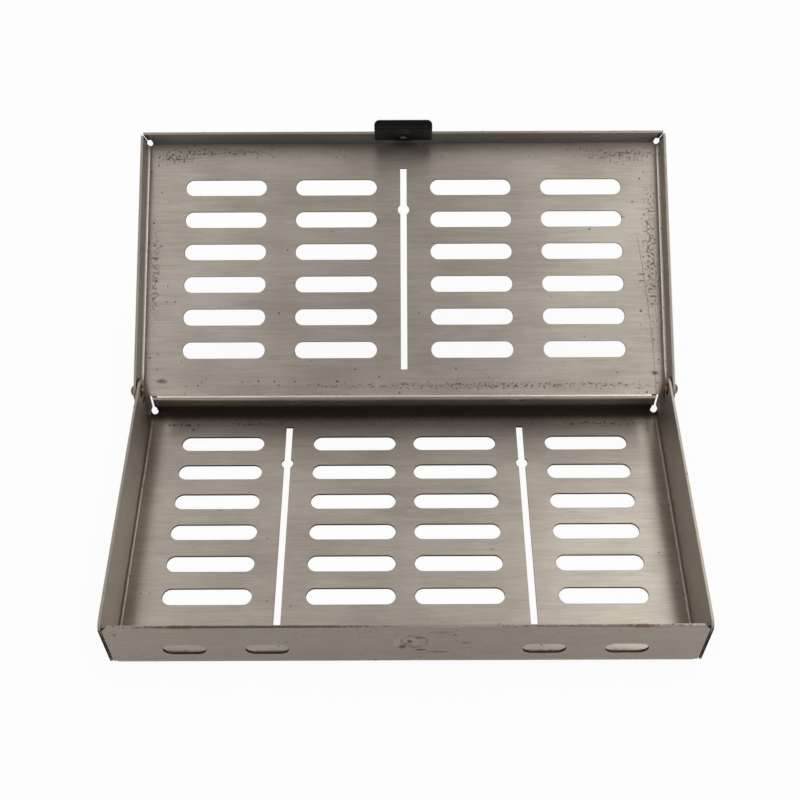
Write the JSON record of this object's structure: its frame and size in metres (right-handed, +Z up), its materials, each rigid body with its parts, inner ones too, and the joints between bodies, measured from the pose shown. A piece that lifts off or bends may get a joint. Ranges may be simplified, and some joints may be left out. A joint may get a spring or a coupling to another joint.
{
  "type": "sterilization container",
  "caption": "Shallow perforated steel instrument tray with a hinged perforated lid on side rivets and a black spring latch clip.",
  "frame": {"origin": "middle of the tray's flat underside, on the plane the tray stands on", "axes": "+X along the long side, +Y towards the hinge, +Z up; the lid stands open as in the picture"},
  "size_m": [0.1908, 0.1703, 0.0812],
  "materials": {
    "tray_steel": "fine horizontal brushing, lightly stained",
    "lid_steel": "fine horizontal brushing, lightly stained",
    "rivet_metal": "dull bronze tint",
    "black_spring_steel": "gloss black coating",
    "small_rivet_metal": "plain"
  },
  "bodies": {
    "tray": {"tray_shell": "tray_steel", "hinge_rivet_left": "rivet_metal", "hinge_rivet_right": "rivet_metal", "hinge_washer_left": "rivet_metal", "hinge_washer_right": "rivet_metal"},
    "lid": {"lid_shell": "lid_steel", "latch_clip": "black_spring_steel", "latch_rivet": "small_rivet_metal"}
  },
  "joints": [
    {"name": "lid_hinge", "type": "hinge", "parent": "tray", "child": "lid", "pos_m": [0, 0.0415, 0.0209], "axis": [1, 0, 0], "range_deg": [0, 148]}
  ]
}
